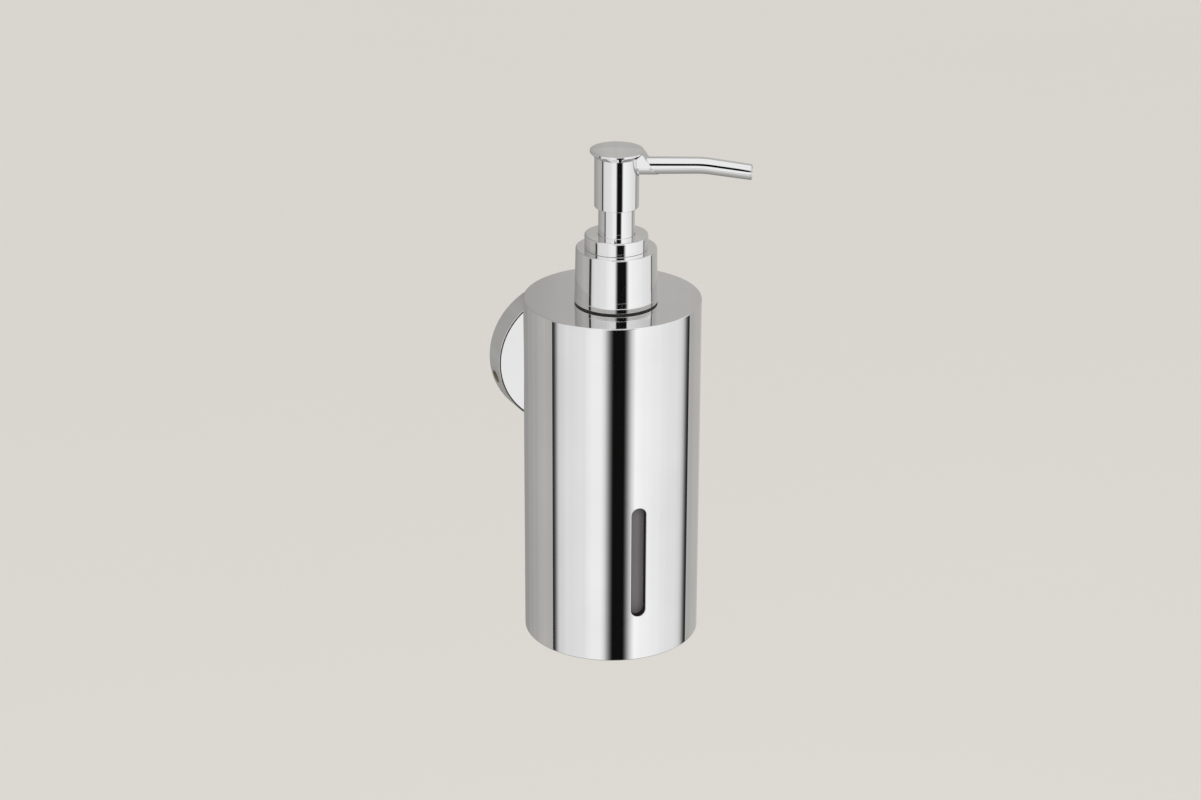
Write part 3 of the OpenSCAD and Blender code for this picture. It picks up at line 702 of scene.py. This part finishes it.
# %% The spout's surface
BEND_ROWS, RIM_STEPS = 14, 6
BEND_GUARD, END_STRETCH = 0.5, 8
mouth_r = spout_r - 0.3
mouth_outside, mouth_inside = 0.3, 0.2
path = np.concatenate([
    [spout_seat, block_reach, bend_start - BEND_GUARD], np.linspace(bend_start, bend_end, BEND_ROWS),
    [bend_end + BEND_GUARD, bend_end + END_STRETCH]])
thinned = np.clip((path - block_reach) / (spout_reach - block_reach), 0, 1)
taper = spout_r + (mouth_r - spout_r) * thinned
rim_turn = np.linspace(0, math.pi / 2, RIM_STEPS + 1)
rim_sine, rim_cosine = 1 - np.sin(rim_turn), 1 - np.cos(rim_turn)
mouth_radii = np.concatenate([[mouth_r], mouth_r - mouth_outside * rim_cosine,
                              spout_bore + mouth_inside * rim_sine, [spout_bore]])
setbacks = np.concatenate([[0.5], mouth_outside * rim_sine, mouth_inside * rim_cosine, [0.3]])
mouth = slid_to(tube_rings(mouth_radii, np.full(len(mouth_radii), bend_end + END_STRETCH)), setbacks)
bore = tube_rings(np.full(len(path), spout_bore), path[::-1])
spout_rows = np.concatenate([tube_rings(taper, path), mouth, bore])
dress("spout_tube", [sheet(spout_rows, close_rows=True)], "chrome")

# %% [markdown]
# ## The wall fixing
# The rosette is a shallow cup with a soft front edge. Its side carries the hole of the grub screw, made
# like the body's slot: a window of cells is left out and a collar lines the hole. The post between rosette
# and body ends in a saddle that fits the round body, so the last rows of its grid follow the body's circle.

# %% Rosette with the grub screw's hole
GRUB_ANGLE = math.radians(195)
GRUB_SINK = 0.8
ROSETTE_ROWS = 13
grub_way = math.cos(GRUB_ANGLE) * X + math.sin(GRUB_ANGLE) * Z
wall_frame = (np.zeros(3), grub_way, np.cross(-Y, grub_way), -Y)
rosette_r = half_width("rosette")
rosette_depth = -span("rosette")[0][1]
rosette_edge = 0.8
rosette_bore = half_width("wall_plate") + 0.3
rosette_inner = rosette_depth - 2.5
side_slope = 1 / (rosette_depth - rosette_edge)
grub_level, grub_r = rosette_inner / 2, 2.05
post_hole = 3.05
side_margin = 0.6
side_rows = np.linspace(side_margin, rosette_inner - side_margin, ROSETTE_ROWS)
side_foot, side_head = side_rows[0], side_rows[-1]


def rosette_side(height):
    """Radius of the rosette's side, which narrows evenly away from the wall."""
    return rosette_r - side_slope * height


front_r = rosette_side(rosette_depth)
grub_hole = {
    "centre": 0, "spread": 7, "window": (side_rows[1], side_rows[-2]), "core": (grub_level, grub_level),
    "reach": grub_r, "soft": GRUB_SINK, "sunk": 0}
rosette_sheets = pierced_wall(side_rows, rosette_side, upright(rosette_bore), [grub_hole], wall_frame,
                              BODY_COLUMNS)
rosette_front = section([
    (rosette_side(side_head), side_head, 0), (front_r, rosette_depth, rosette_edge),
    (post_hole, rosette_depth, 0.1), (post_hole, rosette_inner, 0.1), (rosette_bore, rosette_inner, 0.3),
    (rosette_bore, side_head, 0)], closed=False)
rosette_back = section([
    (rosette_bore, side_foot, 0), (rosette_bore, 0, 0.15), (rosette_r, 0, 0.15),
    (rosette_side(side_foot), side_foot, 0)], closed=False)
for outline in (rosette_front, rosette_back):
    rosette_sheets.append(sheet(turned(outline, wall_frame, BODY_COLUMNS)))
bored_plate = recoloured_inside(chrome("bored_plate"), (0.13, 0.1, 0.065), -grub_level * Y, grub_way,
                     grub_r + GRUB_SINK, -grub_way, 0)
dress("rosette", rosette_sheets, "chrome", bored_plate)

# %% Post with its saddle
SADDLE_ROWS = 8
post_r = half_width("mount_post")
post_start = rosette_depth + FIT
post_stretch = 6
saddle_r = body_r + FIT
saddle_foot = -body_y - saddle_r
saddle_edge, saddle_margin = 0.2, 0.5
rosette_thread, body_thread = rosette_depth + 12.0, saddle_foot - 9.0


def saddle(radius):
    """Distance from the wall of the body's face, on circles round the post: the body's circle at x."""
    x = radius[:, None] * (ring_of(wall_frame) @ X)
    return -body_y - np.sqrt(saddle_r ** 2 - x ** 2)


def post_rows(radius, distance):
    """Rings round the post, with a radius for each row and a distance from the wall for each point."""
    return radius[:, None, None] * ring_of(wall_frame) + distance[..., None] * wall_frame[3]


start_cut = section([
    (0, rosette_thread, 0), (post_hole, rosette_thread, 0.1), (post_hole, post_start, 0.2),
    (post_r, post_start, 0.3), (post_r, post_start + post_stretch, 0)], closed=False)
saddle_radii = np.concatenate([post_r - saddle_edge * rim_cosine,
                               np.linspace(post_r - saddle_margin, screw_half, SADDLE_ROWS)])
saddle_depths = np.concatenate([saddle_edge * rim_sine, np.zeros(SADDLE_ROWS)])[:, None]
end_cut = section([
    (screw_half, saddle_foot - 1, 0), (screw_half, body_thread, 0.1), (0, body_thread, 0)], closed=False)
post_points = np.concatenate([
    turned(start_cut, wall_frame), post_rows(saddle_radii, saddle(saddle_radii) - saddle_depths),
    turned(end_cut, wall_frame)])
dress("mount_post", [sheet(post_points)], "chrome")

# %% [markdown]
# ## Bottle, base cover and spring
# The bottle is blow-moulded, with a round shoulder and foot, and shows only through the slot. The cover
# that closes the body's foot is a shallow dish. The spring is a wire carried along a helix.

# %% Bottle and base cover
bottle_r = half_width("soap_bottle")
bottle_foot, neck_top = levels("soap_bottle")
bottle_wall = 1.2
bottle_bore, bottle_floor = bottle_r - bottle_wall, bottle_foot + bottle_wall
shoulder = -top_wall - FIT
ceiling = shoulder - bottle_wall
neck_r, neck_bore = neck_hole - 0.3, neck_hole - 2.4
turned_piece("soap_bottle", "grey_plastic", pump_frame, [
    (0, bottle_foot, 0), (bottle_r, bottle_foot, 5), (bottle_r, shoulder, 9), (neck_r, shoulder, 0.5),
    (neck_r, neck_top, 0.3), (neck_bore, neck_top, 0.3), (neck_bore, ceiling, 0.5),
    (bottle_bore, ceiling, 7.8), (bottle_bore, bottle_floor, 3.8), (0, bottle_floor, 0)])

cover_r = half_width("base_cover")
cover_rim = levels("base_cover")[1]
cover_inner = cover_r - 1.6
cover_floor = 1.8 - body_h
turned_piece("base_cover", "dark_plastic", body_frame, [
    (0, -body_h, 0), (cover_r, -body_h, 0.4), (cover_r, cover_rim, 0.3), (cover_inner, cover_rim, 0.3),
    (cover_inner, cover_floor, 0.6), (0, cover_floor, 0)])

# %% Return spring
WIRE_COLUMNS, TURN_STEPS, END_STEPS = 14, 40, 5
spring_low, spring_high = levels("return_spring")
spring_turns = 9
wire_r = 0.45
coil_r = half_width("return_spring") - wire_r


def coil(turns, low, high):
    """Circles along a helix: the wire's centre climbs evenly from low to high, round the pump's axis.

    Each circle lies square to the axis's radius, and the first and last shrink to a point as round ends.
    """
    run = np.linspace(0, 1, turns * TURN_STEPS + 1)
    ends = np.linspace(0, 1, END_STEPS, endpoint=False)
    round_end = np.sqrt(1 - (1 - ends) ** 2)
    share = np.concatenate([np.zeros(END_STEPS), run, np.ones(END_STEPS)])
    thick = np.concatenate([round_end, np.ones(len(run)), round_end[::-1]])[:, None]
    slide = np.concatenate([ends - 1, np.zeros(len(run)), 1 - ends[::-1]]) * wire_r
    turn = (share * turns * 2 * math.pi + slide / coil_r)[:, None]
    round_wire = np.linspace(0, 2 * math.pi, WIRE_COLUMNS, endpoint=False)
    radius = coil_r + wire_r * thick * np.cos(round_wire)
    height = (low + (high - low) * share)[:, None] + wire_r * thick * np.sin(round_wire)
    origin, out, across, axis = pump_frame
    way = np.cos(turn) * across - np.sin(turn) * out
    return origin + radius[..., None] * way[:, None] + height[..., None] * axis


spring_rows = coil(spring_turns, spring_low + wire_r, spring_high - wire_r)
spring = dress("return_spring", [sheet(spring_rows)], "steel")
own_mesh(spring)

# %% [markdown]
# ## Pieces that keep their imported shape
# The inner pieces are right as they are, and only need their finish. The list goes by slot, so that a
# repaint of one slot reaches all of its pieces.

# %% Finishes for the inner pieces
inner_pieces = {
    "zinc": ["wall_plate"],
    "brass": ["grub_screw"],
    "steel": ["rosette_screw", "body_screw", "saddle_washer", "inlet_ball", "outlet_ball"],
    "white_plastic": ["screw_cap", "pump_cylinder", "ball_cage", "dip_tube", "piston", "pump_stem",
                      "head_core"],
    "dark_plastic": ["neck_gasket"],
}
for slot, names in inner_pieces.items():
    for name in names:
        node = frame["nodes"][name]
        node.data.materials.clear()
        node.data.materials.append(finishes[slot])
        print(name, "wears", finishes[slot].name)

# %% [markdown]
# ## Camera
# The photograph's perspective was fitted on the ellipses of the body and the collar. The camera stands
# about 1.2 m away, 18 degrees to the left of the front, and looks down. Yaw and roll are tiny, but they put
# every edge in place.

# %% Camera
IMAGE_WIDTH, SENSOR = 1201, 36
FOCAL_PIXELS = 3062
VIEW_TURN = math.radians(18)
CAMERA_BACK, CAMERA_UP = 1121.8, 426.0
PITCH, YAW, ROLL = math.radians(22.724), math.radians(-0.234), math.radians(0.193)
view_side = math.cos(VIEW_TURN) * X - math.sin(VIEW_TURN) * Y
view_away = math.sin(VIEW_TURN) * X + math.cos(VIEW_TURN) * Y
camera_data = bpy.data.cameras.new("camera")
camera_data.sensor_width = SENSOR
camera_data.lens = FOCAL_PIXELS * SENSOR / IMAGE_WIDTH
camera = added("camera", camera_data)
bpy.context.scene.camera = camera
camera_place = (body_frame[0] - CAMERA_BACK * view_away + CAMERA_UP * Z) * MM
camera.matrix_world = (Matrix.Translation(camera_place) @ Matrix.Rotation(-VIEW_TURN - YAW, 4, "Z")
                       @ Matrix.Rotation(math.pi / 2 - PITCH, 4, "X") @ Matrix.Rotation(ROLL, 4, "Z"))
print("camera at", [round(value, 4) for value in camera_place], "lens", round(camera_data.lens, 2))

# %% [markdown]
# ## Floor, light and a tent for the reflections
# A mirror shows its surroundings, so chrome is lit by what stands round it. In a studio, soft boxes hang
# round such an object, with a dark gap between them for the camera. Here a round tent of glowing sheets
# does the same, and only reflections see it.

# %% Floor, sky and soft lights
FLOOR_LEVEL, FLOOR_REACH = -1200, 30000
LIGHT_SIZE, LIGHT_POWER = 0.8, 6
floor_colours = [(0.8232, 0.8036, 0.784), (0.84, 0.82, 0.8)]
floor_side = np.array([-FLOOR_REACH, FLOOR_REACH])
floor_points = floor_side[:, None] * X + floor_side[:, None, None] * Y + FLOOR_LEVEL * Z
floor = added("floor", mesh_of("floor", [sheet(floor_points, close_columns=False)]))
floor.data.materials.append(finish("pale_floor", floor_colours, (0.9, 0.9), 0.4, 4, 0.02))

world = bpy.data.worlds.new("pale_sky")
world.use_nodes = True
world.node_tree.nodes["Background"].inputs["Color"].default_value = (0.82, 0.8, 0.77, 1)
bpy.context.scene.world = world
bpy.context.scene.view_settings.view_transform = "Standard"


def soft_light(name, spot):
    """Square area light that faces the body and stays out of the mirrors."""
    data = bpy.data.lights.new(name, "AREA")
    data.size = LIGHT_SIZE
    data.energy = LIGHT_POWER
    light = added(name, data)
    light.location = spot
    light.rotation_euler = (Vector(body_frame[0] * MM) - Vector(spot)).to_track_quat("-Z", "Y").to_euler()
    light.visible_glossy = False
    print(name, "at", spot)


soft_light("left_light", (-1.0, -0.9, 0.8))
soft_light("right_light", (0.9, -1.1, 0.6))

# %% [markdown]
# A sheet of the tent glows along its length with a ramp of lights. A light is as bright as the chrome is to
# show it, so the glow is a little brighter to make up for the metal. Faint streaks keep a wide light from
# looking painted.

# %% Sheets that glow
METAL = 0.88
WARM, WHITE = (1.02, 1.0, 0.965), (1, 1, 1)
WARM_BELOW = 0.5
STREAKS, STREAK_SCALE = 0.12, 45


def glow(name, light):
    """Material that only glows, with one even light."""
    material = bpy.data.materials.new(name)
    material.use_nodes = True
    material.node_tree.nodes.clear()
    shown = light / METAL
    emission = wired(material, "Emission", {"Color": (shown, shown, shown, 1)})
    wired(material, "OutputMaterial", {"Surface": emission.outputs["Emission"]})
    material.cycles.emission_sampling = "NONE"
    return material


def ramp_glow(name, lights, streaks=0):
    """Glow that runs along U through evenly spaced lights, dim ones a little warm, with faint streaks."""
    material = glow(name, 0)
    emission = material.node_tree.nodes["Emission"].inputs
    spot = wired(material, "UVMap", {}, uv_map="round").outputs["UV"]
    along = wired(material, "SeparateXYZ", {"Vector": spot}).outputs["X"]
    ramp = wired(material, "ValToRGB", {"Fac": along})
    stops = ramp.color_ramp.elements
    ramp.color_ramp.interpolation = "EASE"
    while len(stops) < len(lights):
        stops.new(1)
    for stop, position, light in zip(stops, np.linspace(0, 1, len(lights)), lights):
        tint = WARM if light < WARM_BELOW else WHITE
        stop.position = position
        stop.color = (*[part * light / METAL for part in tint], 1)
    noise = wired(material, "TexNoise", {"W": along, "Scale": STREAK_SCALE}, noise_dimensions="1D")
    strength = wired(material, "MapRange", {
        "Value": noise.outputs["Fac"], "To Min": 1 - streaks, "To Max": 1 + streaks})
    fill(material, emission["Color"], ramp.outputs["Color"])
    fill(material, emission["Strength"], strength.outputs["Result"])
    return material


def hang(name, points, material, u=None):
    """Stage sheet that only reflections see, with u along its columns."""
    mesh = bpy.data.meshes.new(name)
    flat, faces = sheet(points, close_columns=False)
    mesh.from_pydata((flat * MM).tolist(), [], faces.tolist())
    if u is not None:
        corner = np.zeros(len(mesh.loops), np.int32)
        mesh.loops.foreach_get("vertex_index", corner)
        along = u[corner % len(u)]
        spots = np.stack([along, 0 * along], axis=1).ravel().astype(np.float32)
        mesh.uv_layers.new(name="round").data.foreach_set("uv", spots)
    mesh.materials.append(material)
    piece = added(name, mesh)
    piece.visible_camera = piece.visible_diffuse = piece.visible_shadow = False
    print(name, "hangs with", len(faces), "faces")
    return piece


# %% [markdown]
# The lights' places follow from the stripes that the photograph shows: each spot on a cylinder mirrors one
# direction, so a stripe gives an angle. From the left they are grey, a thin dark edge, a wide soft box, the
# dark gap where the camera stands, a second soft box, a dark edge and grey again. An angle counts from the
# camera to the right. The body, the pump and the mirror image in the body's top look at different heights
# of the tent, so each has its own angles.

# %% The tent's lights
LEFT_EDGE, LEFT_BOX, GAP = [6, 7], [8, 9, 10], [11, 12]
RIGHT_BOX, RIGHT_EDGE, BACK = [13, 14], [15, 16], [0, 19]
BOXES = LEFT_BOX + RIGHT_BOX
DARK = 0.005
studio = np.array([
    0.27, 0.27, 0.28, 0.33, 0.41, 0.39, 0.02, 0.03, 0.6, 0.67, 0.83, DARK, DARK, 0.87, 0.69, 0.02, 0.02,
    0.4, 0.43, 0.43])
body_angles = np.array([
    -180, -170, -150, -130, -97, -82.2, -81.8, -79.8, -70, -60, -15, 2, 14.5, 31, 97, 113.5, 115.8, 116.2,
    170, 180])
pump_angles = np.array([
    -180, -170, -150, -130, -97, -80, -79.6, -74.5, -69, -60, -6, 5, 25, 36, 110, 115.5, 117.2, 117.7,
    170, 180])
wedge_angles = np.array([
    -180, -170, -150, -130, -97, -78, -76, -60, -20, -10, 0, 10, 19, 22, 50, 54, 90, 118, 170, 180])
image_angles = pump_angles.copy()
image_angles[LEFT_BOX[0]] = -71
image_angles[[LEFT_BOX[-1], *GAP, RIGHT_BOX[0]]] = -2, 1.5, 28, 31.5


def relit(lights, *changes):
    """A copy of a row of lights, with some of them set to other values."""
    lights = lights.copy()
    for places, value in changes:
        lights[places] = value
    return lights


open_light = relit(studio, (LEFT_EDGE + RIGHT_EDGE, 0.45), (GAP, 0.82), (BACK, 0.4))
ledge_light = relit(studio, (BOXES, studio[BOXES] / METAL), (BACK, 0.4))
lip_light = relit(studio, (BOXES, 0.42), (BACK, 0.4))
image_light = relit(studio, (BOXES, studio[BOXES] * 0.82), (BACK, 0.44))
band_light = relit(open_light, (GAP, DARK), (BACK, 0.44))
shade_light = np.full(len(studio), 0.28)
roof_light = np.full(len(studio), 0.82)
wedge_light = relit(roof_light, (RIGHT_BOX, DARK))
print("the tent has", len(studio), "lights all round")

# %% [markdown]
# The sheets stand on each other from the ground to the roof. Between the heights that the body mirrors and
# those that the pump mirrors, the angles cross over in a short eased stretch. The sheets above serve rays
# that bounce off a ledge first, and the roof lights the level faces.

# %% The tent's sheets
TENT = 600.0
TENT_STEPS = 12
GROUND, ROOF = -450, 800
CROSSING_LOW, CROSSING_HIGH, CROSSING_ROWS = -173, -149, 7
tent_middle = body_frame[0] * [1, 1, 0]


def tent_sheet(name, rows, lights, streaks):
    """Glowing sheet round the body, from rows of (radius, height, angles).

    A row's angles say where the lights stand on it. U runs evenly from light to light on every row, so one
    ramp paints them all, and an edge leans where the angles of two rows differ.
    """
    u = np.linspace(0, 1, TENT_STEPS * (len(lights) - 1) + 1)
    stops = np.linspace(0, 1, len(lights))
    angle = np.radians([np.interp(u, stops, angles) for radius, height, angles in rows])[..., None]
    ring = np.sin(angle) * view_side - np.cos(angle) * view_away
    radius, height = np.array([row[:2] for row in rows], float).T[..., None, None]
    points = tent_middle + radius * ring + height * Z
    hang("tent_" + name, points, ramp_glow("tent_" + name, lights, streaks), u)


share = np.linspace(0, 1, CROSSING_ROWS)
eased = share ** 2 * (3 - 2 * share)
crossing = [(TENT, height, body_angles * (1 - part) + pump_angles * part)
            for height, part in zip(np.linspace(CROSSING_LOW, CROSSING_HIGH, CROSSING_ROWS), eased)]
walls = [
    ("bridge", -35, pump_angles, open_light),
    ("ledge", 225, pump_angles, ledge_light),
    ("lip", 266, pump_angles, lip_light),
    ("high_ledge", 278, pump_angles, ledge_light),
    ("image", 294, image_angles, image_light),
    ("band", 316, image_angles, band_light),
    ("high", 560, pump_angles, open_light)]
wall_feet = [foot for name, foot, angles, lights in walls]
roof_rings = [
    ("roof", 0, pump_angles, roof_light),
    ("roof_wedge", 215, wedge_angles, wedge_light),
    ("roof_side", 330, pump_angles, roof_light),
    ("roof_edge", 420, pump_angles, open_light)]
ring_starts = [inner for name, inner, angles, lights in roof_rings]

tent_sheet("ground", [(0, GROUND, body_angles), (TENT, GROUND, body_angles)], shade_light, 0)
low_rows = [(TENT, GROUND, body_angles), *crossing, (TENT, wall_feet[0], pump_angles)]
tent_sheet("low", low_rows, studio, STREAKS)
for (name, foot, angles, lights), head in zip(walls, wall_feet[1:] + [ROOF]):
    tent_sheet(name, [(TENT, foot, angles), (TENT, head, angles)], lights, STREAKS)
for (name, inner, angles, lights), outer in zip(roof_rings, ring_starts[1:] + [TENT]):
    tent_sheet(name, [(inner, ROOF, angles), (outer, ROOF, angles)], lights, 0)

# %% [markdown]
# A small black flag hangs in front of the head. Only the spout looks at it, and its mirror image is the
# dark line that runs along the tube. A grey cradle close under the spout keeps its underside from mirroring
# the bright roof in the body's top. It glows towards the spout, is clear from outside and goes along when
# the head moves.

# %% A flag and a cradle for the spout
CRADLE_GAP = 0.9
CRADLE_ROWS = 30
CRADLE_COLUMNS = slice(30, 52)
flag_across = np.array([-34.0, 38.0])
flag_up = np.array([127.0, 216.0])
flag_ahead = 150.0
cradle_lights = [0.19, 0.2, 0.22, 0.26, 0.32, 0.42, 0.66]


def one_sided(material):
    """Make a glow show on its front only, with nothing to see from the back."""
    nodes = material.node_tree.nodes
    facing = wired(material, "NewGeometry", {})
    clear = wired(material, "BsdfTransparent", {})
    choice = wired(material, "MixShader", {
        0: facing.outputs["Backfacing"], 1: nodes["Emission"].outputs["Emission"],
        2: clear.outputs["BSDF"]})
    fill(material, nodes["Material Output"].inputs["Surface"], choice.outputs["Shader"])
    return material


flag_points = (tent_middle - flag_ahead * view_away + flag_across[:, None] * view_side
               + flag_up[:, None, None] * Z)
hang("flag", flag_points, glow("flag", DARK))

cradle_path = np.linspace(head_r, spout_reach, CRADLE_ROWS)
cradle_points = tube_rings(np.full(CRADLE_ROWS, spout_r + CRADLE_GAP), cradle_path)[:, CRADLE_COLUMNS]
cradle = hang("cradle", cradle_points, one_sided(ramp_glow("cradle", cradle_lights)),
              np.linspace(0, 1, cradle_points.shape[1]))
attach(cradle, body_of["spout_tube"])

# %% [markdown]
# The rosette's front looks into the narrow space behind the body, which would leave it grey. In a studio, a
# white card with a black border is slipped in there, and the border draws the dark line on the rosette's
# round edge. Only the rosette sees the card: it glows towards the wall and is clear from the other side.

# %% A card for the rosette
CARD_LIGHT, BORDER_LIGHT = 0.79, 0.03
CARD_GAP, CARD_BORDER, CARD_HOLE = 0.8, 2.6, 0.5
CARD_STEPS = 96


def card_ring(name, inner, outer, light):
    """Flat ring in front of the rosette, between two radii."""
    angle = np.linspace(0, 2 * math.pi, CARD_STEPS + 1)[:, None]
    ring = np.cos(angle) * X + np.sin(angle) * Z
    points = np.array([inner, outer])[:, None, None] * ring - (rosette_depth + CARD_GAP) * Y
    hang(name, points, one_sided(glow(name, light)))


card_edge = front_r - rosette_edge
card_ring("card", post_r + CARD_HOLE, card_edge, CARD_LIGHT)
card_ring("card_border", card_edge, card_edge + CARD_BORDER, BORDER_LIGHT)
